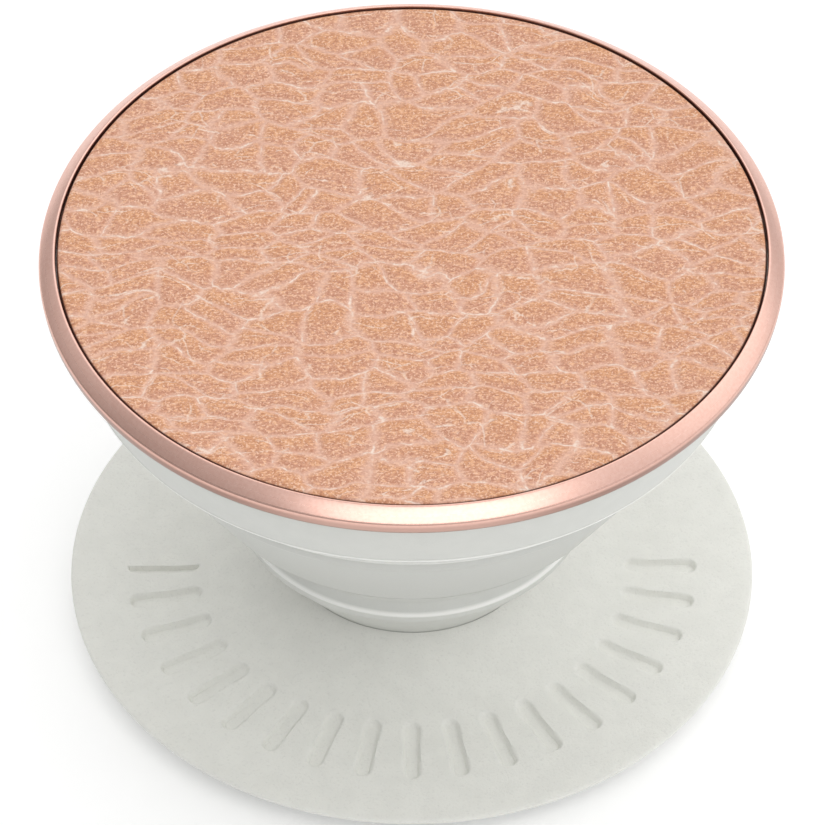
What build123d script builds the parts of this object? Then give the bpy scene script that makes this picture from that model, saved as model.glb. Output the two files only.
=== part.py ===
from build123d import *
import os

# Expanding phone grip: a leather-topped disc on a two-stage rubber bellows that turns in a thin round base.
# The origin is the centre of the gel pad's underside, +Z is up through the top, and lengths are in mm.
# A profile is drawn on Plane.XZ, radius across and height up, and is turned about Z.
# Sizes called "rise" are heights above base_top, the flat top of the base.

# ---- driving dimensions: the pad and the base
pad_radius = 17.2
gel_thickness = 0.8
carrier_thickness = 0.1
bond_thickness = 0.1
base_radius = 18.9
base_thickness = 1.1
skin_thickness = 0.45
swell_start_radius = 13.4
swell_rise = 2.15
throat_radius = 7.1
seat_radius = 9.2
pocket_radius = 8.3
pocket_top_rise = 0.45
retaining_plate_thickness = 0.8
washer_thickness = 0.08

# ---- driving dimensions: the index marks pressed into the base
mark_circle_radius = 13.78
mark_length = 3.9
mark_width = 0.8
mark_depth = 0.28
mark_count = 19

# ---- driving dimensions: the bellows, as (radius, rise) of its hinge circles
foot_radius = 6.98
lower_hinge_radius, lower_hinge_rise = 9.45, 5.5
middle_rim_radius, middle_rim_rise = 12.05, 10.16
middle_hinge_radius, middle_hinge_rise = 15.7, 16.2
skirt_rim_radius, skirt_rim_rise = 17.9, 19.35
skirt_top_radius, skirt_top_rise = 19.2, 23.28
stiff_wall = 0.9
foot_wall = 0.7
fold_wall = 0.55
lip = 0.33

# ---- driving dimensions: the top
top_rise = 24.7
leather_radius = 18.9
leather_thickness = 0.55
adhesive_thickness = 0.1
disc_thickness = 0.45
ring_radius = 19.87
ring_bore_radius = 18.98
ring_flange_radius = 18.2
ring_bottom_rise = 23.38
ring_shoulder_rise = 24.0

# ---- driving dimensions: the bayonet between the top and the bellows
lock_plate_radius = 13.5
lock_plate_thickness = 0.8
lock_plate_top_rise = 23.5
hub_radius = 3.1
hub_bottom_rise = 21.6
lug_span = 10.8
lug_width = 2.8
lug_thickness = 0.9
bayonet_clearance = 0.1
stop_peg_radius = 0.6
stop_peg_circle = 4.6
stop_peg_angle = 26.7
post_radius = 2.6
post_top_rise = 5.0

# ---- heights worked out from the stack
carrier_bottom = gel_thickness
bond_bottom = carrier_bottom + carrier_thickness
core_bottom = bond_bottom + bond_thickness
base_top = core_bottom + base_thickness
seat_top = core_bottom + retaining_plate_thickness
core_top = base_top - skin_thickness
throat_core_top = base_top + swell_rise - skin_thickness
leather_bottom = base_top + top_rise - leather_thickness
disc_top = leather_bottom - adhesive_thickness
disc_bottom = disc_top - disc_thickness
plate_top = base_top + lock_plate_top_rise
plate_bottom = plate_top - lock_plate_thickness

os.makedirs("parts", exist_ok=True)


# ================================================================ pad under the base
with BuildPart() as gel_pad:
    with BuildSketch(Plane.XY):
        Circle(pad_radius)
    extrude(amount=gel_thickness)
    fillet(gel_pad.edges().sort_by(Axis.Z)[-1], radius=0.2)
gel_pad.part.label = "gel_pad"

with BuildPart() as pad_carrier:
    with BuildSketch(Plane.XY.offset(carrier_bottom)):
        Circle(pad_radius + 0.1)
    extrude(amount=carrier_thickness)
pad_carrier.part.label = "pad_carrier"

with BuildPart() as pad_bond_film:
    with BuildSketch(Plane.XY.offset(bond_bottom)):
        Circle(pad_radius)
    extrude(amount=bond_thickness)
pad_bond_film.part.label = "pad_bond_film"


# ================================================================ base
core_radius = base_radius - 0.6
core_foot_radius = base_radius - 1.2
core_edge = base_top - skin_thickness - 0.05

# Stiff disc with a swollen centre, and a stepped pocket below for the foot ring and its plate.
with BuildPart() as platform_core:
    with BuildSketch(Plane.XZ):
        with BuildLine():
            Polyline(
                (throat_radius, throat_core_top),
                (throat_radius, base_top + pocket_top_rise),
                (pocket_radius, base_top + pocket_top_rise),
                (pocket_radius, seat_top),
                (seat_radius, seat_top),
                (seat_radius, core_bottom),
                (core_foot_radius, core_bottom),
                (core_radius, core_edge),
                (core_radius, core_top),
                (swell_start_radius, core_top),
            )
            TangentArc(
                (swell_start_radius, core_top),
                (throat_radius, throat_core_top),
                tangent=(-1, 0),
            )
        make_face()
    revolve(axis=Axis.Z)
platform_core.part.label = "platform_core"

# Soft matte skin over the disc, wrapped round its thin edge.
skin_lip_radius = throat_radius + 0.05
skin_lip_height = base_top + swell_rise - 0.05
with BuildPart() as platform_skin:
    with BuildSketch(Plane.XZ):
        with BuildLine():
            TangentArc(
                (swell_start_radius, core_top),
                (throat_radius, throat_core_top),
                tangent=(-1, 0),
            )
            Polyline(
                (throat_radius, throat_core_top),
                (throat_radius, skin_lip_height - 0.05),
                (skin_lip_radius, skin_lip_height),
            )
            TangentArc((swell_start_radius, base_top), (skin_lip_radius, skin_lip_height), tangent=(-1, 0))
            Line((swell_start_radius, base_top), (base_radius - 0.15, base_top))
            TangentArc((base_radius - 0.15, base_top), (base_radius, base_top - 0.15), tangent=(1, 0))
            Polyline(
                (base_radius, base_top - 0.15),
                (base_radius - 0.05, base_top - 0.28),
                (core_radius, core_edge),
                (core_radius, core_top),
                (swell_start_radius, core_top),
            )
        make_face()
    revolve(axis=Axis.Z)
    # plain round-ended marks, one every ten degrees round the front half
    with BuildSketch(Plane.XY.offset(base_top)):
        with PolarLocations(mark_circle_radius, mark_count, start_angle=180, angular_range=180, endpoint=True):
            SlotOverall(mark_length, mark_width)
    extrude(amount=-mark_depth, mode=Mode.SUBTRACT)
platform_skin.part.label = "platform_skin"

# Plate bonded into the underside of the disc: it closes the pocket and carries the post.
post_tail_radius = 1.5
with BuildPart() as retaining_plate:
    with BuildSketch(Plane.XY.offset(core_bottom)):
        Circle(seat_radius - 0.02)
        Circle(post_tail_radius, mode=Mode.SUBTRACT)
    extrude(amount=retaining_plate_thickness)
retaining_plate.part.label = "retaining_plate"

# Post with a flange and a cross-ribbed head, which the twist key meets when the grip is pressed flat.
post_flange_radius = 4.6
post_flange_top = seat_top + 0.6
post_rib = 0.8
with BuildPart() as index_post:
    with BuildSketch(Plane.XY.offset(core_bottom)):
        Circle(post_tail_radius - 0.02)
    extrude(amount=retaining_plate_thickness)
    with BuildSketch(Plane.XY.offset(seat_top)):
        Circle(post_flange_radius)
    extrude(amount=post_flange_top - seat_top)
    with BuildSketch(Plane.XY.offset(post_flange_top)):
        Circle(post_radius - 0.8)
        Rectangle(2 * post_radius, post_rib)
        Rectangle(post_rib, 2 * post_radius)
    extrude(amount=base_top + post_top_rise - post_flange_top)
    fillet(index_post.faces().sort_by(Axis.Z)[-1].edges(), radius=0.2)
index_post.part.label = "index_post"

with BuildPart() as glide_washer:
    with BuildSketch(Plane.XY.offset(seat_top)):
        Circle(pocket_radius - 0.3)
        Circle(post_flange_radius + 1.0, mode=Mode.SUBTRACT)
    extrude(amount=washer_thickness)
glide_washer.part.label = "glide_washer"


# ================================================================ bottom tier of the bellows
ring_bore = post_flange_radius + 0.8
upstand_radius = foot_radius - stiff_wall
foot_ring_bottom = seat_top + washer_thickness + 0.02
foot_ring_top = base_top + pocket_top_rise - 0.1
upstand_top = base_top + 1.9

# Stiff flanged ring inside the foot: the flange turns in the pocket of the base.
with BuildPart() as foot_ring:
    with BuildSketch(Plane.XZ):
        with BuildLine():
            Polyline(
                (ring_bore, foot_ring_bottom),
                (pocket_radius - 0.1, foot_ring_bottom),
                (pocket_radius - 0.1, foot_ring_top),
                (upstand_radius, foot_ring_top),
                (upstand_radius, upstand_top),
                (ring_bore, upstand_top),
                close=True,
            )
        make_face()
    revolve(axis=Axis.Z)
foot_ring.part.label = "foot_ring"

lower_hinge_height = base_top + lower_hinge_rise
with BuildPart() as lower_cone:
    with BuildSketch(Plane.XZ):
        with BuildLine():
            Polyline(
                (foot_radius, foot_ring_top),
                (foot_radius, base_top + swell_rise),
                (lower_hinge_radius, lower_hinge_height),
                (lower_hinge_radius - foot_wall, lower_hinge_height),
                (upstand_radius, upstand_top),
                (upstand_radius, foot_ring_top),
                close=True,
            )
        make_face()
    revolve(axis=Axis.Z)
lower_cone.part.label = "lower_cone"

# Thin wall that turns inside out between the bottom and the middle tier, with a small lip at its lower end.
middle_rim_height = base_top + middle_rim_rise
with BuildPart() as lower_fold:
    with BuildSketch(Plane.XZ):
        with BuildLine():
            Polyline(
                (lower_hinge_radius, lower_hinge_height),
                (lower_hinge_radius + lip, lower_hinge_height + 0.85),
                (lower_hinge_radius + lip - 0.1, lower_hinge_height + 1.1),
                (middle_rim_radius, middle_rim_height),
                (middle_rim_radius - fold_wall, middle_rim_height),
                (lower_hinge_radius - fold_wall, lower_hinge_height),
                close=True,
            )
        make_face()
    revolve(axis=Axis.Z)
lower_fold.part.label = "lower_fold"


# ================================================================ middle tier of the bellows
middle_hinge_height = base_top + middle_hinge_rise
with BuildPart() as middle_cone:
    with BuildSketch(Plane.XZ):
        with BuildLine():
            Polyline(
                (middle_rim_radius, middle_rim_height),
                (middle_hinge_radius, middle_hinge_height),
                (middle_hinge_radius - stiff_wall, middle_hinge_height),
                (middle_rim_radius - stiff_wall, middle_rim_height),
                close=True,
            )
        make_face()
    revolve(axis=Axis.Z)
middle_cone.part.label = "middle_cone"

# Thin wall that turns inside out between the middle tier and the skirt.
skirt_rim_height = base_top + skirt_rim_rise
with BuildPart() as upper_fold:
    with BuildSketch(Plane.XZ):
        with BuildLine():
            Polyline(
                (middle_hinge_radius, middle_hinge_height),
                (middle_hinge_radius + lip, middle_hinge_height + 0.75),
                (middle_hinge_radius + lip - 0.05, middle_hinge_height + 0.95),
                (skirt_rim_radius, skirt_rim_height),
                (skirt_rim_radius - fold_wall, skirt_rim_height),
                (middle_hinge_radius - fold_wall, middle_hinge_height),
                close=True,
            )
        make_face()
    revolve(axis=Axis.Z)
upper_fold.part.label = "upper_fold"


# ================================================================ top tier of the bellows
skirt_top_height = base_top + skirt_top_rise
flange_bottom = base_top + 23.15
inner_flange_radius = ring_flange_radius - 0.1

# Stiff skirt with a thin flange across its top, which the lock plate is bonded into.
with BuildPart() as upper_skirt:
    with BuildSketch(Plane.XZ):
        with BuildLine():
            Polyline(
                (skirt_rim_radius, skirt_rim_height),
                (skirt_top_radius, skirt_top_height),
                (inner_flange_radius, skirt_top_height),
                (inner_flange_radius, plate_top),
                (lock_plate_radius, plate_top),
                (lock_plate_radius, flange_bottom),
                (skirt_top_radius - stiff_wall, flange_bottom),
                (skirt_rim_radius - stiff_wall, skirt_rim_height),
                close=True,
            )
        make_face()
    revolve(axis=Axis.Z)
upper_skirt.part.label = "upper_skirt"

# Moulded plate with the bayonet's keyhole, and two pairs of pegs below that stop the lugs.
keyhole_span = lug_span + 4 * bayonet_clearance
keyhole_width = lug_width + 3 * bayonet_clearance
with BuildPart() as lock_plate:
    with BuildSketch(Plane.XY.offset(plate_bottom)):
        Circle(lock_plate_radius - 0.02)
    extrude(amount=lock_plate_thickness)
    with BuildSketch(Plane.XY.offset(plate_bottom + 0.1)):
        Circle(lock_plate_radius + 0.7)
    extrude(amount=flange_bottom - plate_bottom - 0.1)
    with BuildSketch(Plane.XY.offset(plate_bottom)):
        for side in (stop_peg_angle, 90 - stop_peg_angle):
            with PolarLocations(stop_peg_circle, 2, start_angle=side):
                Circle(stop_peg_radius)
    extrude(amount=-lug_thickness)
    with BuildSketch(Plane.XY.offset(plate_bottom)):
        Circle(hub_radius + bayonet_clearance)
        Rectangle(keyhole_span, keyhole_width)
    extrude(amount=lock_plate_thickness, mode=Mode.SUBTRACT)
lock_plate.part.label = "lock_plate"


# ================================================================ top
lug_top = plate_bottom - bayonet_clearance
with BuildPart() as twist_key:
    with BuildSketch(Plane.XY.offset(base_top + hub_bottom_rise)):
        Circle(hub_radius)
    extrude(until=None, amount=disc_bottom - base_top - hub_bottom_rise)
    with BuildSketch(Plane.XY.offset(lug_top - lug_thickness)):
        SlotOverall(lug_span, lug_width, rotation=90)
    extrude(amount=lug_thickness)
    with BuildSketch(Plane.XY.offset(base_top + hub_bottom_rise)):
        Circle(hub_radius - 1.0)
    extrude(amount=1.2, mode=Mode.SUBTRACT)
twist_key.part.label = "twist_key"

with BuildPart() as top_disc:
    with BuildSketch(Plane.XY.offset(disc_bottom)):
        Circle(ring_bore_radius - 0.02)
    extrude(amount=disc_thickness)
top_disc.part.label = "top_disc"

# Bull-nosed metal ring with a flange that the disc sits on.
flange_top = disc_bottom - 0.02
ring_top = base_top + top_rise
nose_width = ring_radius - ring_bore_radius - 0.06
nose_height = top_rise - ring_shoulder_rise
nose_x = ring_bore_radius + 0.06 + 0.7071 * nose_width
nose_z = base_top + ring_shoulder_rise + 0.7071 * nose_height
with BuildPart() as trim_ring:
    with BuildSketch(Plane.XZ):
        with BuildLine():
            Polyline(
                (ring_radius, base_top + ring_shoulder_rise),
                (ring_radius - 0.03, base_top + ring_bottom_rise + 0.2),
                (ring_radius - 0.12, base_top + ring_bottom_rise),
                (ring_flange_radius, base_top + ring_bottom_rise),
                (ring_flange_radius, flange_top),
                (ring_bore_radius, flange_top),
                (ring_bore_radius, ring_top - 0.08),
                (ring_bore_radius + 0.06, ring_top),
            )
            ThreePointArc(
                (ring_bore_radius + 0.06, ring_top),
                (nose_x, nose_z),
                (ring_radius, base_top + ring_shoulder_rise),
            )
        make_face()
    revolve(axis=Axis.Z)
trim_ring.part.label = "trim_ring"

with BuildPart() as inlay_adhesive:
    with BuildSketch(Plane.XY.offset(disc_top)):
        Circle(leather_radius - 0.3)
    extrude(amount=adhesive_thickness)
inlay_adhesive.part.label = "inlay_adhesive"

with BuildPart() as leather_inlay:
    with BuildSketch(Plane.XY.offset(leather_bottom)):
        Circle(leather_radius)
    extrude(amount=leather_thickness)
    fillet(leather_inlay.edges().sort_by(Axis.Z)[-1], radius=0.18)
leather_inlay.part.label = "leather_inlay"


pieces = [
    gel_pad, pad_carrier, pad_bond_film,
    platform_core, platform_skin, retaining_plate, index_post, glide_washer,
    foot_ring, lower_cone, lower_fold, middle_cone, upper_fold, upper_skirt, lock_plate,
    twist_key, top_disc, trim_ring, inlay_adhesive, leather_inlay,
]
for piece in pieces:
    export_step(piece.part, f"parts/{piece.part.label}.step")
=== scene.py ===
import math

import bpy
import numpy as np
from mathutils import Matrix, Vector


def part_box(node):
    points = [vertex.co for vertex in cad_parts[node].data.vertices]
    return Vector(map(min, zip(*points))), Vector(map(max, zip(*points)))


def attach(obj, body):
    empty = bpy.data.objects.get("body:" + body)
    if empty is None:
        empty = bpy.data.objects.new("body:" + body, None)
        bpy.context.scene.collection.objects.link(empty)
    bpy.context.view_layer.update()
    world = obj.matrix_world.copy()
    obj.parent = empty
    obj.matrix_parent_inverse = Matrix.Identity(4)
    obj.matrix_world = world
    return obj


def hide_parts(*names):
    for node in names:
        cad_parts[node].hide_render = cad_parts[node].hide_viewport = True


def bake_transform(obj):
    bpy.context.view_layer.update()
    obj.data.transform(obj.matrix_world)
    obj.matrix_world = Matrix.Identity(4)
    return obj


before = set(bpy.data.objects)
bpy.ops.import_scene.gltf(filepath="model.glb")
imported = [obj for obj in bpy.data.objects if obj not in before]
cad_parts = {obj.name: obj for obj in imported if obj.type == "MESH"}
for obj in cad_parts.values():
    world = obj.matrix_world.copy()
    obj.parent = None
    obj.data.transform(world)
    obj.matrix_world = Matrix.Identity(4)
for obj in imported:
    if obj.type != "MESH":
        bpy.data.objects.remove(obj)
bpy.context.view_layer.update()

# Lengths below are in millimetres until a mesh is made, and MM turns them into metres.
MM = 0.001


def node_size(node):
    """A turned node's outer radius and its lowest and highest point, in millimetres."""
    low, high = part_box(node)
    return high.x / MM, low.z / MM, high.z / MM


# ---------------------------------------------------------------- sizes read from the frame
leather_radius, leather_bottom, leather_top = node_size("leather_inlay")
ring_radius, ring_bottom, ring_top = node_size("trim_ring")
skirt_radius, _, skirt_top = node_size("upper_skirt")
skirt_rim_radius, middle_top, skirt_rim_z = node_size("upper_fold")
middle_radius, middle_bottom, _ = node_size("middle_cone")
middle_rim_radius, lower_hinge_z, middle_rim_z = node_size("lower_fold")
lower_hinge_radius, foot_bottom, _ = node_size("lower_cone")
skin_radius, skin_bottom, skin_lip_z = node_size("platform_skin")
core_radius, _, _ = node_size("platform_core")
pad_radius, pad_bottom, pad_top = node_size("gel_pad")
disc_radius, disc_bottom, _ = node_size("top_disc")

# ---------------------------------------------------------------- sizes of the design
swell_start_radius = 13.4
swell_rise = 2.15
lip_drop = 0.05
base_top = skin_lip_z - swell_rise + lip_drop
throat_radius = 7.1
skin_thickness = 0.45
foot_radius = 6.98
foot_wall = 0.7
stiff_wall = 0.9
fold_wall = 0.5
mark_circle_radius = 13.78
mark_length = 3.9
mark_width = 0.8
mark_depth = 0.28
mark_count = 19

TURN_STEPS = 288
ARC_STEPS = 7


# ================================================================ mesh building
def rounded(points, steps=ARC_STEPS):
    """A closed outline of (radius, height, corner radius), with each corner turned into an arc."""
    outline = []
    count = len(points)
    for i, (x, z, r) in enumerate(points):
        here = np.array((x, z))
        if r <= 0:
            outline.append(here)
            continue
        before = np.array(points[i - 1][:2]) - here
        after = np.array(points[(i + 1) % count][:2]) - here
        a = before / np.linalg.norm(before)
        b = after / np.linalg.norm(after)
        half = math.acos(np.clip(a @ b, -1, 1)) / 2
        reach = r / math.tan(half)
        middle = here + (a + b) / np.linalg.norm(a + b) * r / math.sin(half)
        start = here + a * reach - middle
        end = here + b * reach - middle
        sweep = math.atan2(start[0] * end[1] - start[1] * end[0], start @ end)
        for k in range(steps + 1):
            t = sweep * k / steps
            turn = np.array(((math.cos(t), -math.sin(t)), (math.sin(t), math.cos(t))))
            outline.append(middle + turn @ start)
    return outline


def arc_to_lip(start, end, steps):
    """Points of the arc that leaves start level, towards the axis, and ends at end."""
    across = start[0] - end[0]
    rise = end[1] - start[1]
    radius = (across**2 + rise**2) / (2 * rise)
    angles = np.linspace(0, math.asin(across / radius), steps)
    return [(start[0] - radius * math.sin(t), start[1] + radius * (1 - math.cos(t))) for t in angles]


def make_mesh(name, vertices, faces, smooth=True):
    mesh = bpy.data.meshes.new(name)
    mesh.from_pydata([tuple(v) for v in vertices], [], faces)
    mesh.validate()
    mesh.polygons.foreach_set("use_smooth", [smooth] * len(mesh.polygons))
    mesh.update()
    piece = bpy.data.objects.new(name, mesh)
    bpy.context.scene.collection.objects.link(piece)
    return piece


def turned(name, outline, steps=TURN_STEPS, lift=None, sharp=35, pale=None):
    """A closed (radius, height) outline turned about Z.

    lift moves each point's height by its place. pale gives each outline point's painted light and shade,
    from -1 for painted shade to 1 for a pale painted highlight.
    """
    outline = np.array([p[:2] for p in outline], float)
    angles = np.arange(steps) * 2 * math.pi / steps
    x = np.outer(np.cos(angles), outline[:, 0])
    y = np.outer(np.sin(angles), outline[:, 0])
    z = np.tile(outline[:, 1], (steps, 1))
    if lift is not None:
        z = z + lift(x, y, z)
    vertices = np.stack((x, y, z), axis=-1).reshape(-1, 3) * MM
    n = len(outline)
    faces = []
    for i in range(steps):
        j = (i + 1) % steps
        for k in range(n):
            m = (k + 1) % n
            faces.append((i * n + k, j * n + k, j * n + m, i * n + m))
    radius, height = outline[:, 0], outline[:, 1]
    area = np.sum(radius * np.roll(height, -1) - np.roll(radius, -1) * height)
    if area > 0:
        faces = [f[::-1] for f in faces]
    piece = make_mesh(name, vertices, faces)
    piece.data.set_sharp_from_angle(angle=math.radians(sharp))
    if pale is not None:
        painted_light = piece.data.attributes.new("painted_light", "FLOAT", "POINT")
        painted_light.data.foreach_set("value", np.tile(pale, steps))
    return piece


# ================================================================ materials
class Nodes:
    """Short names for building a node tree: each call adds a node, fills its inputs and gives an output."""

    def __init__(self, tree):
        self.tree = tree

    def add(self, kind, **settings):
        node = self.tree.nodes.new(kind)
        for key, value in settings.items():
            setattr(node, key, value)
        return node

    def fill(self, socket, value):
        if isinstance(value, bpy.types.NodeSocket):
            self.tree.links.new(value, socket)
        else:
            socket.default_value = value

    def math(self, operation, a, b=0.0, clamp=False):
        node = self.add("ShaderNodeMath", operation=operation, use_clamp=clamp)
        self.fill(node.inputs[0], a)
        self.fill(node.inputs[1], b)
        return node.outputs[0]

    def vector(self, operation, a, b=(0, 0, 0)):
        node = self.add("ShaderNodeVectorMath", operation=operation)
        self.fill(node.inputs[0], a)
        self.fill(node.inputs[1], b)
        return node.outputs[0]

    def scaled(self, a, factor):
        node = self.add("ShaderNodeVectorMath", operation="SCALE")
        self.fill(node.inputs[0], a)
        self.fill(node.inputs["Scale"], factor)
        return node.outputs[0]

    def noise(self, at, scale, detail=2.0, roughness=0.5, color=False):
        node = self.add("ShaderNodeTexNoise", noise_dimensions="3D")
        self.fill(node.inputs["Vector"], at)
        self.fill(node.inputs["Scale"], scale)
        self.fill(node.inputs["Detail"], detail)
        self.fill(node.inputs["Roughness"], roughness)
        return node.outputs["Color" if color else 0]

    def edges(self, at):
        """Distance to the nearest border between the cells of a flat Voronoi pattern."""
        node = self.add("ShaderNodeTexVoronoi", voronoi_dimensions="2D", feature="DISTANCE_TO_EDGE")
        self.fill(node.inputs["Vector"], at)
        self.fill(node.inputs["Scale"], 1.0)
        return node.outputs["Distance"]

    def cell_centre(self, at):
        """Centre of the flat Voronoi cell that at lies in."""
        node = self.add("ShaderNodeTexVoronoi", voronoi_dimensions="2D", feature="F1")
        self.fill(node.inputs["Vector"], at)
        self.fill(node.inputs["Scale"], 1.0)
        return node.outputs["Position"]

    def ramp(self, value, low, high, out_low=0.0, out_high=1.0):
        node = self.add("ShaderNodeMapRange", interpolation_type="SMOOTHSTEP", clamp=True)
        for socket, setting in zip(node.inputs, (value, low, high, out_low, out_high)):
            self.fill(socket, setting)
        return node.outputs[0]

    def mix(self, factor, a, b):
        node = self.add("ShaderNodeMix", data_type="RGBA", blend_type="MIX")
        self.fill(node.inputs[0], factor)
        for socket, setting in ((node.inputs[6], a), (node.inputs[7], b)):
            if not isinstance(setting, bpy.types.NodeSocket):
                setting = (*setting[:3], 1.0)
            self.fill(socket, setting)
        return node.outputs[2]


def srgb(r, g, b):
    """An 8-bit display colour as a linear one."""
    channels = (r / 255, g / 255, b / 255)
    return tuple(c / 12.92 if c <= 0.04045 else ((c + 0.055) / 1.055) ** 2.4 for c in channels)


def new_material(name):
    """A material with its builder, its shader node and the object coordinates in millimetres."""
    material = bpy.data.materials.new(name)
    material.use_nodes = True
    tree = material.node_tree
    shader = tree.nodes["Principled BSDF"]
    build = Nodes(tree)
    place = build.add("ShaderNodeTexCoord").outputs["Object"]
    return material, build, shader, build.scaled(place, 1 / MM)


def bump(build, shader, height, depth_mm, strength):
    node = build.add("ShaderNodeBump")
    node.inputs["Strength"].default_value = strength
    node.inputs["Distance"].default_value = depth_mm * MM
    build.fill(node.inputs["Height"], height)
    build.fill(shader.inputs["Normal"], node.outputs["Normal"])


# ---- leather: one pattern serves the mesh and the colour
# Cells per millimetre across and along the leather, for the main cells, the fine cells and the long folds.
MAIN_CELLS = (0.37, 0.64, 0.0)
FINE_CELLS = (0.46, 0.88, 0.0)
FINE_OFFSET = (7.3, 2.1, 0.0)
LONG_FOLDS = (0.07, 0.34, 0.0)
WANDER = 4.0
SHIVER = 0.42
MIDDLE_GREY = (0.5, 0.5, 0.5)


def leather_pattern(build, place):
    """Milled leather at place, in millimetres.

    Gives the distances to the main creases, to the fine creases and to the long folds, then the height of
    place in its cell, and how level the nearest main crease runs, from 0 to 1.
    """
    wander = build.vector("SUBTRACT", build.noise(place, 0.20, 1.0, color=True), MIDDLE_GREY)
    shiver = build.vector("SUBTRACT", build.noise(place, 1.5, 2.0, color=True), MIDDLE_GREY)
    moved = build.vector("ADD", place, build.scaled(wander, WANDER))
    moved = build.vector("ADD", moved, build.scaled(shiver, SHIVER))
    cells = build.vector("MULTIPLY", moved, MAIN_CELLS)
    main = build.edges(cells)
    split = build.add("ShaderNodeSeparateXYZ")
    build.fill(split.inputs[0], build.vector("SUBTRACT", cells, build.cell_centre(cells)))
    fine_at = build.vector("MULTIPLY", moved, FINE_CELLS)
    fine = build.edges(build.vector("ADD", fine_at, FINE_OFFSET))
    slant = build.vector("MULTIPLY", moved, LONG_FOLDS)
    long_lines = build.math("ABSOLUTE", build.math("SUBTRACT", build.noise(slant, 1.0, 1.0), 0.5))
    across = build.math("ABSOLUTE", split.outputs[0])
    along = build.math("ABSOLUTE", split.outputs[1])
    level = build.ramp(build.math("SUBTRACT", along, across), -0.22, 0.12)
    return main, fine, long_lines, split.outputs[1], level


def leather_height(build, place):
    """Height of the leather's face above its creases, from 0 to about 1."""
    main, fine, long_lines, _, _ = leather_pattern(build, place)
    pillow = build.ramp(main, 0.0, 0.24)
    small = build.ramp(fine, 0.0, 0.16)
    fold = build.ramp(long_lines, 0.0, 0.03)
    total = build.math("MULTIPLY", pillow, 0.6)
    total = build.math("ADD", total, build.math("MULTIPLY", small, 0.2))
    return build.math("ADD", total, build.math("MULTIPLY", fold, 0.2))


def distance_from_axis(build, place):
    """The radius and the height of place."""
    split = build.add("ShaderNodeSeparateXYZ")
    build.fill(split.inputs[0], place)
    x_squared = build.math("POWER", split.outputs[0], 2.0)
    y_squared = build.math("POWER", split.outputs[1], 2.0)
    return build.math("SQRT", build.math("ADD", x_squared, y_squared)), split.outputs[2]


HIDE_TONE = (0.890, 0.842, 0.818)


def hide(r, g, b):
    """A leather colour: an 8-bit display colour, made a little deeper and redder."""
    return tuple(c * tone for c, tone in zip(srgb(r, g, b), HIDE_TONE))


# lit and shaded copies of the cell colour: painted light on the upper side, painted shade on the lower
LIT_ORANGE_TAN = hide(223, 164, 121)
SHADED_ROSY_TAN = hide(218, 162, 134)
BESIDE_CREASE = hide(234, 191, 172)
CREASE_BAND = hide(238, 196, 176)
DARK_FIBRE = hide(188, 126, 94)
DARK_GRAIN = hide(184, 126, 100)
PALE_FIBRE = hide(251, 201, 160)
PALE_SPECK = hide(255, 216, 188)
# pale crease colour that also carries a painted highlight
CREASE_THREAD_AND_HIGHLIGHT = hide(255, 238, 224)
# painted shade of the gap between the leather and the ring
GAP_SHADE_BROWN = hide(66, 32, 20)


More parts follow.
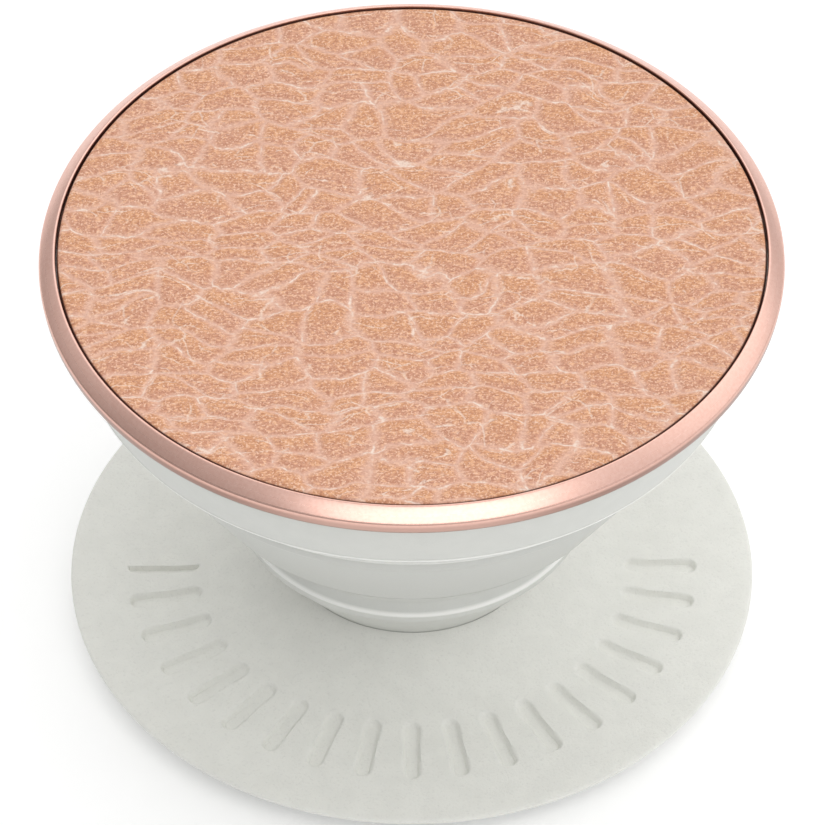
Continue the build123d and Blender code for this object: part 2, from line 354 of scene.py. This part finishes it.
def leather_material():
    material, build, shader, place = new_material("milled_leather")
    main, fine, long_lines, in_cell, level = leather_pattern(build, place)
    patches = build.noise(place, 0.45, 2.0)
    breaks = build.noise(build.vector("MULTIPLY", place, (0.7, 1.2, 1.0)), 1.7, 2.0)
    breaks = build.ramp(breaks, 0.44, 0.62)
    fibre = build.noise(build.vector("MULTIPLY", place, (0.72, 1.25, 1.0)), 5.2, 2.0, 0.65)
    grain = build.noise(build.vector("ADD", place, (11.0, 3.0, 7.0)), 9.0, 1.0, 0.6)
    specks = build.noise(build.vector("ADD", place, (31.0, 17.0, 5.0)), 8.4, 1.0, 0.6)
    # tan cells, orange on the side that faces up the leather as painted light and rosier on the side that
    # faces down it as painted shade
    uneven = build.math("MULTIPLY", build.math("SUBTRACT", patches, 0.5), 1.2)
    shaded_side = build.ramp(build.math("ADD", in_cell, uneven), 0.28, -0.34)
    color = build.mix(shaded_side, LIT_ORANGE_TAN, SHADED_ROSY_TAN)
    # paler, rosier leather beside the creases
    beside = build.ramp(main, 0.0, 0.20, 0.50, 0.0)
    beside = build.math("MULTIPLY", beside, build.ramp(patches, 0.30, 0.62, 0.6, 1.0))
    color = build.mix(beside, color, BESIDE_CREASE)
    # pigment specks, dark and pale, a tenth of a millimetre across
    color = build.mix(build.ramp(fibre, 0.34, 0.52, 0.66, 0.0), color, DARK_FIBRE)
    color = build.mix(build.ramp(grain, 0.30, 0.47, 0.74, 0.0), color, DARK_GRAIN)
    color = build.mix(build.ramp(fibre, 0.52, 0.66, 0.0, 0.80), color, PALE_FIBRE)
    color = build.mix(build.ramp(specks, 0.53, 0.68, 0.0, 0.85), color, PALE_SPECK)
    # a soft band over the specks along the creases
    color = build.mix(build.ramp(main, 0.0, 0.16, 0.55, 0.0), color, CREASE_BAND)
    # a pale broken thread along the creases, partly their own pale colour and partly a painted highlight,
    # strongest where they run level
    thread = build.ramp(main, 0.006, 0.045, 1.0, 0.0)
    thread = build.math("MULTIPLY", thread, build.math("ADD", breaks, 0.06, clamp=True))
    thread = build.math("MULTIPLY", thread, build.math("ADD", level, 0.15, clamp=True))
    fine_thread = build.ramp(fine, 0.003, 0.05, 0.6, 0.0)
    fine_thread = build.math("MULTIPLY", fine_thread, build.ramp(patches, 0.50, 0.62))
    long_thread = build.math("MULTIPLY", build.ramp(long_lines, 0.001, 0.008, 0.8, 0.0), breaks)
    pale = build.math("MAXIMUM", build.math("MAXIMUM", thread, fine_thread), long_thread)
    pale = build.math("MULTIPLY", pale, build.ramp(specks, 0.30, 0.55, 0.45, 1.0))
    color = build.mix(pale, color, CREASE_THREAD_AND_HIGHLIGHT)
    # painted shade: the leather's outer edge is painted dark brown for the shade in the gap against the
    # ring
    across, _ = distance_from_axis(build, place)
    edge = build.ramp(across, leather_radius - 0.11, leather_radius - 0.04)
    color = build.mix(edge, color, GAP_SHADE_BROWN)
    build.fill(shader.inputs["Base Color"], color)
    build.fill(shader.inputs["Roughness"], build.ramp(grain, 0.3, 0.7, 0.50, 0.66))
    pores = build.math("ADD", build.math("MULTIPLY", fibre, 0.5), build.math("MULTIPLY", specks, 0.5))
    bump(build, shader, build.math("SUBTRACT", pores, build.math("MULTIPLY", pale, 0.4)), 0.05, 0.6)
    return material


# colour of the pale painted highlight along the bellows rims
PAINTED_HIGHLIGHT_COLOR = srgb(252, 252, 248)
# how much darker the painted shade makes a piece
PAINTED_SHADE_FACTOR = 0.90


def moulded_material(name, color, roughness, grain_scale, grain_depth, mottle=0.02, soft=0.0, speckle=0.05):
    """A moulded rubber or plastic: a fine spark-eroded grain with slightly uneven colour.

    Where a piece has the "painted_light" attribute, 1 is a pale painted highlight and -1 is painted shade.
    """
    material, build, shader, place = new_material(name)
    grain = build.noise(place, grain_scale, 3.0, 0.7)
    clouds = build.noise(place, 0.8, 4.0)
    speck = tuple(c * (1 - speckle) for c in color)
    darker = tuple(c * (1 - mottle) for c in color)
    lighter = tuple(min(1.0, c * (1 + mottle)) for c in color)
    shaded_color = tuple(c * PAINTED_SHADE_FACTOR for c in color)
    base = build.mix(build.ramp(clouds, 0.35, 0.65), darker, lighter)
    base = build.mix(build.ramp(grain, 0.28, 0.48, 0.6, 0.0), base, speck)
    # the painted_light attribute: below 0 it paints shade, above 0 it paints a pale highlight
    painted_light = build.add("ShaderNodeAttribute", attribute_name="painted_light").outputs["Fac"]
    base = build.mix(build.ramp(painted_light, 0.0, -1.0), base, shaded_color)
    base = build.mix(painted_light, base, PAINTED_HIGHLIGHT_COLOR)
    build.fill(shader.inputs["Base Color"], base)
    build.fill(shader.inputs["Roughness"], build.ramp(grain, 0.3, 0.7, roughness - 0.05, roughness + 0.05))
    if soft:
        shader.inputs["Subsurface Weight"].default_value = soft
        shader.inputs["Subsurface Radius"].default_value = (1.0, 0.95, 0.85)
        shader.inputs["Subsurface Scale"].default_value = 0.6 * MM
    bump(build, shader, grain, grain_depth, 0.5)
    return material


ROSE_GOLD = srgb(233, 188, 173)
ROSE_GOLD_BRIGHT = srgb(238, 196, 182)
# painted shade on the ring's wall, at its front and at its sides
WALL_FRONT_SHADE = srgb(193, 157, 145)
WALL_SIDE_SHADE = srgb(142, 110, 99)
TURNS_PER_MM = 22.0


def metal_material():
    """Satin rose-gold anodising with fine turning marks.

    The wall below the shoulder is painted darker as painted shade, most of all at the left and right sides.
    """
    material, build, shader, place = new_material("rose_gold")
    across, height = distance_from_axis(build, place)
    join = build.add("ShaderNodeCombineXYZ")
    build.fill(join.inputs[0], build.math("MULTIPLY", across, TURNS_PER_MM))
    build.fill(join.inputs[1], build.math("MULTIPLY", height, TURNS_PER_MM))
    turning = build.noise(join.outputs[0], 1.0, 3.0)
    dust = build.noise(place, 6.0, 3.0)
    color = build.mix(build.ramp(dust, 0.3, 0.7), ROSE_GOLD, ROSE_GOLD_BRIGHT)
    # painted shade: the wall below the shoulder darker, most of all at the left and right sides
    below = build.ramp(height, ring_top - 0.58, ring_top - 0.95)
    split = build.add("ShaderNodeSeparateXYZ")
    build.fill(split.inputs[0], place)
    to_side = build.math("DIVIDE", build.math("ABSOLUTE", split.outputs[0]), across)
    wall = build.mix(build.ramp(to_side, 0.15, 0.55), WALL_FRONT_SHADE, WALL_SIDE_SHADE)
    color = build.mix(build.math("MULTIPLY", below, 0.9), color, wall)
    build.fill(shader.inputs["Base Color"], color)
    shader.inputs["Metallic"].default_value = 1.0
    build.fill(shader.inputs["Roughness"], build.ramp(turning, 0.3, 0.7, 0.27, 0.32))
    bump(build, shader, turning, 0.002, 0.10)
    return material


def film_material(name, color, roughness, see_through):
    """A thin clear or gel layer, faintly cloudy, with dust specks under its surface."""
    material, build, shader, place = new_material(name)
    clouds = build.noise(place, 0.5, 3.0)
    dust = build.noise(place, 4.0, 2.0)
    base = build.mix(build.ramp(clouds, 0.35, 0.65), tuple(c * 0.94 for c in color), color)
    build.fill(shader.inputs["Base Color"], base)
    build.fill(shader.inputs["Roughness"], build.ramp(dust, 0.3, 0.7, roughness, roughness + 0.08))
    shader.inputs["Transmission Weight"].default_value = see_through
    bump(build, shader, clouds, 0.02, 0.4)
    return material


# name, colour, roughness, then the grain's scale and depth
skin_finish = moulded_material("base_skin", srgb(232, 232, 226), 0.66, 6.5, 0.070,
                               mottle=0.015, soft=0.06, speckle=0.13)
rubber_finish = moulded_material("bellows_rubber", srgb(210, 211, 206), 0.50, 7.0, 0.010,
                                 mottle=0.012, soft=0.12)
plastic_finish = moulded_material("stiff_plastic", srgb(222, 222, 217), 0.52, 6.0, 0.012, mottle=0.02)
washer_finish = moulded_material("washer_plastic", srgb(232, 231, 224), 0.30, 9.0, 0.004, mottle=0.01)
leather_finish = leather_material()
metal_finish = metal_material()
gel_finish = film_material("gel", srgb(196, 199, 198), 0.16, 0.0)
film_finish = film_material("clear_film", srgb(214, 218, 218), 0.12, 0.3)
adhesive_finish = film_material("adhesive_film", srgb(222, 221, 215), 0.35, 0.0)


def finish(piece, material, body, slot, *nodes):
    """Gives a piece its material and its body and hides the CAD nodes that it stands for. slot is not used.
    """
    piece.data.materials.clear()
    piece.data.materials.append(material)
    if body:
        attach(piece, body)
    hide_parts(*nodes)
    return piece


# ================================================================ leather
LEATHER_GRID = 300
LEATHER_RELIEF = 0.11
LEATHER_EDGE = 0.35
EDGE_DROP = 0.2
FACE_INSET = 0.02


def leather_disc():
    """A dense disc, square-gridded so that its faces stay even, with a turned-down edge and a flat back."""
    n = LEATHER_GRID
    u, v = np.meshgrid(np.linspace(-1, 1, n + 1), np.linspace(-1, 1, n + 1), indexing="ij")
    x = u * np.sqrt(1 - v * v / 2) * leather_radius
    y = v * np.sqrt(1 - u * u / 2) * leather_radius
    inset = leather_radius - np.hypot(x, y)
    drop = np.clip(1 - inset / LEATHER_EDGE, 0, 1)
    z = leather_top - FACE_INSET - EDGE_DROP * (1 - np.sqrt(1 - drop ** 2))
    top = np.stack((x, y, z), axis=-1).reshape(-1, 3)
    faces = []
    for i in range(n):
        for j in range(n):
            a = i * (n + 1) + j
            faces.append((a, a + n + 1, a + n + 2, a + 1))
    rim = [i * (n + 1) for i in range(n)] + [n * (n + 1) + j for j in range(n)]
    rim += [(n - i) * (n + 1) + n for i in range(n)] + [n - j for j in range(n)]
    lower = top[rim].copy()
    lower[:, 2] = leather_bottom
    first = len(top)
    middle = first + len(rim)
    vertices = np.concatenate((top, lower, [(0, 0, leather_bottom)]))
    for k, a in enumerate(rim):
        m = (k + 1) % len(rim)
        faces.append((a, first + k, first + m, rim[m]))
        faces.append((first + k, middle, first + m))
    return make_mesh("leather", vertices * MM, faces)


def emboss(piece):
    """Presses the crease pattern into the leather's face, fading out at its edge."""
    tree = bpy.data.node_groups.new("emboss", "GeometryNodeTree")
    tree.interface.new_socket("Geometry", in_out="INPUT", socket_type="NodeSocketGeometry")
    tree.interface.new_socket("Geometry", in_out="OUTPUT", socket_type="NodeSocketGeometry")
    build = Nodes(tree)
    start = build.add("NodeGroupInput")
    end = build.add("NodeGroupOutput")
    place = build.scaled(build.add("GeometryNodeInputPosition").outputs[0], 1 / MM)
    across, height = distance_from_axis(build, place)
    inside = build.ramp(across, leather_radius - 0.02, leather_radius - 0.5)
    face = build.ramp(height, leather_bottom + 0.1, leather_top - 0.25)
    depth = build.math("SUBTRACT", 1.0, leather_height(build, place))
    depth = build.math("MULTIPLY", build.math("MULTIPLY", depth, inside), face)
    shift = build.add("ShaderNodeCombineXYZ")
    build.fill(shift.inputs[2], build.math("MULTIPLY", depth, -LEATHER_RELIEF * MM))
    move = build.add("GeometryNodeSetPosition")
    build.fill(move.inputs["Geometry"], start.outputs[0])
    build.fill(move.inputs["Offset"], shift.outputs[0])
    build.fill(end.inputs[0], move.outputs[0])
    modifier = piece.modifiers.new("emboss", "NODES")
    modifier.node_group = tree
    bpy.context.view_layer.update()
    shaped = bpy.data.meshes.new_from_object(piece.evaluated_get(bpy.context.evaluated_depsgraph_get()))
    piece.modifiers.clear()
    piece.data = shaped
    shaped.set_sharp_from_angle(angle=math.radians(60))


leather = leather_disc()
emboss(leather)
finish(leather, leather_finish, "top", "tan_leather", "leather_inlay")


# ================================================================ ring
CHAMFER_DROP = 0.7
CHAMFER_CROWN = 0.02
RING_WALL = 1.67


def trim_ring():
    """Metal ring: a slightly crowned chamfer that slopes down from the leather, a shoulder and a wall."""
    bore = disc_radius + 0.02
    shoulder = ring_top - CHAMFER_DROP
    start = np.array((bore + 0.09, ring_top))
    end = np.array((ring_radius - 0.04, shoulder + 0.08))
    along = end - start
    outward = np.array((-along[1], along[0])) / np.linalg.norm(along)
    chamfer = [start + t * along + 4 * t * (1 - t) * CHAMFER_CROWN * outward for t in np.linspace(0, 1, 14)]
    outline = [tuple(p) for p in chamfer] + [
        (ring_radius - 0.018, shoulder + 0.04),
        (ring_radius - 0.004, shoulder - 0.02),
        (ring_radius, shoulder - 0.08),
        (ring_radius - 0.01, shoulder - 0.2),
        (ring_radius - 0.05, ring_bottom + 0.16),
        (ring_radius - 0.09, ring_bottom + 0.05),
        (ring_radius - 0.17, ring_bottom),
        (ring_radius - RING_WALL, ring_bottom),
        (ring_radius - RING_WALL, disc_bottom - 0.02),
        (bore, disc_bottom - 0.02),
        (bore, ring_top - 0.06),
        (bore + 0.02, ring_top - 0.015),
        (bore + 0.06, ring_top),
    ]
    return turned("ring", outline, steps=360, sharp=50)


finish(trim_ring(), metal_finish, "top", "ring_metal", "trim_ring")


# ================================================================ bellows
SKIRT_LAND = 1.1
SKIRT_FLOOR = 5.7
# attribute value for tiers that are painted darker as painted shade
PAINTED_SHADE = -1.0


def upper_skirt():
    """The widest tier: a leaning wall with an inner floor at its top and a thin bead at its rim, painted
    pale as a painted highlight.
    """
    bead = [
        (skirt_rim_radius - 0.12, skirt_rim_z - 0.14, 0),
        (skirt_rim_radius, skirt_rim_z - 0.10, 0),
        (skirt_rim_radius + 0.03, skirt_rim_z - 0.02, 0),
    ]
    points = bead + [
        (skirt_rim_radius, skirt_rim_z + 0.04, 0),
        (skirt_radius, skirt_top - 0.22, 0.08),
        (skirt_radius - SKIRT_LAND, skirt_top - 0.22, 0),
        (skirt_radius - SKIRT_LAND, skirt_top, 0.05),
        (skirt_radius - SKIRT_FLOOR, skirt_top, 0),
        (skirt_radius - SKIRT_FLOOR, skirt_top - 0.35, 0),
        (skirt_radius - stiff_wall, skirt_top - 0.35, 0.25),
        (skirt_rim_radius - stiff_wall, skirt_rim_z, 0.05),
    ]
    outline = rounded(points)
    # the bead carries a pale painted highlight
    pale = [0.8 if k < len(bead) else 0 for k in range(len(outline))]
    return turned("skirt", outline, pale=pale)


def middle_tier():
    points = [
        (middle_rim_radius, middle_bottom, 0.14),
        (middle_radius, middle_top, 0.04),
        (middle_radius - stiff_wall, middle_top, 0.04),
        (middle_rim_radius - stiff_wall, middle_bottom, 0.04),
    ]
    outline = rounded(points)
    # the whole middle tier is painted darker as painted shade
    return turned("middle_tier", outline, pale=[PAINTED_SHADE] * len(outline))


def bottom_tier():
    seam = base_top + swell_rise
    points = [
        (foot_radius, foot_bottom, 0),
        (foot_radius, seam - 0.02, 0.15),
        (lower_hinge_radius, lower_hinge_z, 0.03),
        (lower_hinge_radius - foot_wall, lower_hinge_z, 0.03),
        (foot_radius - stiff_wall, seam - 0.25, 0.1),
        (foot_radius - stiff_wall, foot_bottom, 0),
    ]
    return turned("bottom_tier", rounded(points))


def fold(name, low_radius, low_z, high_radius, high_z, rim, wall, tone=0.0, steps=28):
    """A thin wall between two hinge circles, with a raised rim near its lower end that is worn pale.

    rim is (how far the rim stands out, its height above the hinge). wall is (how far the wall above the rim
    stands in from it, the height over which it runs in, how hollow the rest of the wall is). tone is the
    painted shade of everything but the rim, from 0 for none to -1 for full.
    """
    rim_out, rim_rise = rim
    wall_in, wall_rise, hollow = wall
    tip = low_radius + rim_out
    tip_z = low_z + rim_rise
    band = [
        (low_radius, low_z, 0),
        (low_radius + 0.45 * rim_out, low_z + 0.25 * rim_rise, 0),
        (tip - 0.05, low_z + 0.42 * rim_rise, 0),
        (tip - 0.01, low_z + 0.55 * rim_rise, 0),
        (tip, tip_z - 0.1, 0.2),
        (tip - 0.01, tip_z - 0.04, 0.8),
        (tip - 0.04, tip_z, 1),
        (tip - 0.09, tip_z + 0.03, 1),
    ]
    start = tip - wall_in
    for t in np.linspace(0.2, 1, 6):
        run_in = start + (wall_in - 0.1) * (1 - t) ** 2
        band.append((run_in, tip_z + 0.03 + wall_rise * t, 0.3 * (1 - t)))
    foot_z = tip_z + 0.03 + wall_rise
    sweep = []
    for t in np.linspace(0.04, 1, steps):
        lean = t - hollow * t * (1 - t)
        sweep.append((start + (high_radius - start) * lean, foot_z + (high_z - foot_z) * t, 0))
    inner = [(radius - fold_wall, z, 0) for radius, z, _ in sweep[::-1]]
    outline = band + sweep + inner + [(low_radius - fold_wall, low_z, 0)]
    # the rim keeps its painted highlight and the rest of the wall takes the painted shade in tone
    return turned(name, outline, sharp=70, pale=[painted_light if painted_light > 0.25 else tone for _, _, painted_light in outline])


finish(upper_skirt(), rubber_finish, "upper_tier", "bellows_rubber", "upper_skirt")
finish(middle_tier(), rubber_finish, "middle_tier", "bellows_rubber", "middle_cone")
finish(bottom_tier(), rubber_finish, "lower_tier", "bellows_rubber", "lower_cone")

# the upper wall is painted darker as painted shade, apart from its rim's painted highlight
upper_wall = fold("upper_wall", middle_radius, middle_top, skirt_rim_radius, skirt_rim_z,
                  rim=(0.33, 0.92), wall=(0.13, 0.12, 0.0), tone=PAINTED_SHADE)
finish(upper_wall, rubber_finish, None, "bellows_rubber", "upper_fold")
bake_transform(upper_wall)

lower_wall = fold("lower_wall", lower_hinge_radius, lower_hinge_z, middle_rim_radius, middle_rim_z,
                  rim=(0.33, 0.86), wall=(0.33, 0.75, 0.35))
finish(lower_wall, rubber_finish, None, "bellows_rubber", "lower_fold")
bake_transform(lower_wall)


# ================================================================ base
BASE_STEPS = 900
MARK_STEP = 180 / (mark_count - 1)
MARK_SLOPE = 0.09
FAR_OFF = 9.0


def pressed_marks(x, y, z):
    """Depth of the round-ended marks, one every ten degrees round the front half of the base."""
    radius = np.hypot(x, y)
    angle = np.degrees(np.arctan2(y, x))
    nearest = np.clip(np.round(angle / MARK_STEP), -(mark_count - 1), 0) * MARK_STEP
    off = np.radians(angle - nearest)
    along = np.abs(radius * np.cos(off) - mark_circle_radius) - (mark_length - mark_width) / 2
    side = radius * np.sin(off)
    distance = np.hypot(np.maximum(along, 0), side) - mark_width / 2
    distance = np.where(np.abs(angle - nearest) > 90, FAR_OFF, distance)
    t = np.clip((MARK_SLOPE - distance) / (2 * MARK_SLOPE), 0, 1)
    face = (z > base_top - 0.05) & (z < base_top + 0.4)
    return -mark_depth * t * t * (3 - 2 * t) * face


def base_skin():
    """Flat thin-edged disc that swells to a lip close round the foot of the bellows."""
    under = base_top - skin_thickness
    edge = [
        (skin_radius - 0.16, base_top),
        (skin_radius - 0.06, base_top - 0.03),
        (skin_radius - 0.01, base_top - 0.09),
        (skin_radius, base_top - 0.16),
        (skin_radius - 0.05, base_top - 0.28),
        (core_radius, skin_bottom),
        (core_radius, under),
        (swell_start_radius, under),
    ]
    lip_radius = foot_radius + 0.04
    below = arc_to_lip((swell_start_radius, under), (throat_radius, skin_lip_z - 0.42), 20)
    throat = [
        (foot_radius + 0.02, skin_lip_z - 0.08),
        (foot_radius + 0.025, skin_lip_z - 0.02),
    ]
    swell = arc_to_lip((swell_start_radius, base_top), (lip_radius, skin_lip_z), 90)
    flat = [(r, base_top) for r in np.arange(swell_start_radius + 0.07, mark_circle_radius + 2.3, 0.07)]
    flat += [(r, base_top) for r in np.arange(mark_circle_radius + 2.5, skin_radius - 0.4, 0.5)]
    outline = edge + below[1:] + throat + swell[::-1] + flat
    return turned("base_skin", outline, steps=BASE_STEPS, lift=pressed_marks, sharp=50)


finish(base_skin(), skin_finish, "base", "base_skin", "platform_skin")


def gel_pad():
    points = [
        (0.02, pad_bottom, 0),
        (pad_radius, pad_bottom, 0.12),
        (pad_radius - 0.02, pad_top, 0.22),
        (0.02, pad_top, 0),
    ]
    return turned("gel", rounded(points))


finish(gel_pad(), gel_finish, "base", "gel", "gel_pad")

# ---------------------------------------------------------------- CAD pieces that stay, with their finishes
kept = {
    "platform_core": (plastic_finish, "stiff_plastic"),
    "retaining_plate": (plastic_finish, "stiff_plastic"),
    "index_post": (plastic_finish, "stiff_plastic"),
    "foot_ring": (plastic_finish, "stiff_plastic"),
    "lock_plate": (plastic_finish, "stiff_plastic"),
    "twist_key": (plastic_finish, "stiff_plastic"),
    "top_disc": (plastic_finish, "stiff_plastic"),
    "glide_washer": (washer_finish, "washer_plastic"),
    "pad_carrier": (film_finish, "clear_film"),
    "pad_bond_film": (adhesive_finish, "adhesive_film"),
    "inlay_adhesive": (adhesive_finish, "adhesive_film"),
}
for node, (material, slot) in kept.items():
    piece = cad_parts[node]
    if not piece.material_slots:
        piece.data.materials.append(material)
    for material_slot in piece.material_slots:
        material_slot.material = material


# ================================================================ stage
FLOOR_HALF = 3.0
FLOOR_COLOR = (0.93, 0.93, 0.93, 1)
FLOOR_GLOW = 0.18
FLOOR_Z = -0.02 * MM
CORNERS = ((-1, -1), (1, -1), (1, 1), (-1, 1))
floor_corners = [(x * FLOOR_HALF, y * FLOOR_HALF, FLOOR_Z) for x, y in CORNERS]
floor = make_mesh("floor", floor_corners, [(0, 1, 2, 3)], smooth=False)
paper, _, paper_shader, _ = new_material("pale_floor")
paper_shader.inputs["Base Color"].default_value = FLOOR_COLOR
paper_shader.inputs["Roughness"].default_value = 0.9
paper_shader.inputs["Emission Color"].default_value = (1, 1, 1, 1)
paper_shader.inputs["Emission Strength"].default_value = FLOOR_GLOW
floor.data.materials.append(paper)


def softbox(name, place, aim, width, height, radiance):
    """A rectangular light, given the brightness that shows in a mirror."""
    light = bpy.data.lights.new(name, "AREA")
    light.shape = "RECTANGLE"
    light.size = width
    light.size_y = height
    light.energy = radiance * math.pi * width * height
    lamp = bpy.data.objects.new(name, light)
    lamp.location = place
    lamp.rotation_euler = (Vector(aim) - Vector(place)).to_track_quat("-Z", "Y").to_euler()
    bpy.context.scene.collection.objects.link(lamp)


# Where each light stands, in metres, its width and height, and its brightness.
LIGHTS = {
    "front": ((0.04, -0.29, 0.395), 0.42, 0.21, 1.75),
    "key": ((0.41, 0.10, 0.27), 0.36, 0.30, 0.45),
}
LIT_POINT = (0, 0, 0.015)
for name, (place, width, height, radiance) in LIGHTS.items():
    softbox(name, place, LIT_POINT, width, height, radiance)

# A room that grows brighter overhead, towards the right and front, and high up at the back.
ROOM = 0.24
ROOM_TOP = 0.58
ROOM_RIGHT = 0.47
ROOM_BACK = 2.1
RIGHT_X = 0.93
RIGHT_Y = 0.37
world = bpy.data.worlds.new("studio")
world.use_nodes = True
room = Nodes(world.node_tree)
background = world.node_tree.nodes["Background"]
toward = room.add("ShaderNodeTexCoord").outputs["Generated"]
split = room.add("ShaderNodeSeparateXYZ")
room.fill(split.inputs[0], toward)
along_x = room.math("MULTIPLY", split.outputs[0], RIGHT_X)
along_y = room.math("MULTIPLY", split.outputs[1], RIGHT_Y)
to_right = room.math("MAXIMUM", room.math("SUBTRACT", along_x, along_y), 0.0)
backward = room.math("MAXIMUM", split.outputs[1], 0.0)
upward = room.math("MAXIMUM", split.outputs[2], 0.0)
to_back = room.math("MULTIPLY", backward, upward)
to_top = room.math("POWER", upward, 2.0)
right_glow = room.math("MULTIPLY", to_right, ROOM_RIGHT)
sides = room.math("ADD", right_glow, room.math("MULTIPLY", to_back, ROOM_BACK))
extra = room.math("ADD", sides, room.math("MULTIPLY", to_top, ROOM_TOP))
background.inputs["Color"].default_value = (1, 1, 1, 1)
room.fill(background.inputs["Strength"], room.math("ADD", extra, ROOM))
bpy.context.scene.world = world

# The camera looks along +Y from 45.5 degrees up, from far enough away to be nearly without perspective.
ELEVATION = math.radians(45.53)
DISTANCE = 0.413
SENSOR = 36.0
LENS = 331.4
TARGET_X = 0.00004
TARGET_RISE = 0.01214
target = np.array((TARGET_X, 0.0, base_top * MM + TARGET_RISE))
camera_data = bpy.data.cameras.new("camera")
camera_data.lens = LENS
camera_data.sensor_width = SENSOR
camera_data.clip_start = 0.01
camera = bpy.data.objects.new("camera", camera_data)
camera.location = target + DISTANCE * np.array((0, -math.cos(ELEVATION), math.sin(ELEVATION)))
camera.rotation_euler = (math.pi / 2 - ELEVATION, 0, 0)
bpy.context.scene.collection.objects.link(camera)
bpy.context.scene.camera = camera
bpy.context.scene.view_settings.view_transform = "Standard"
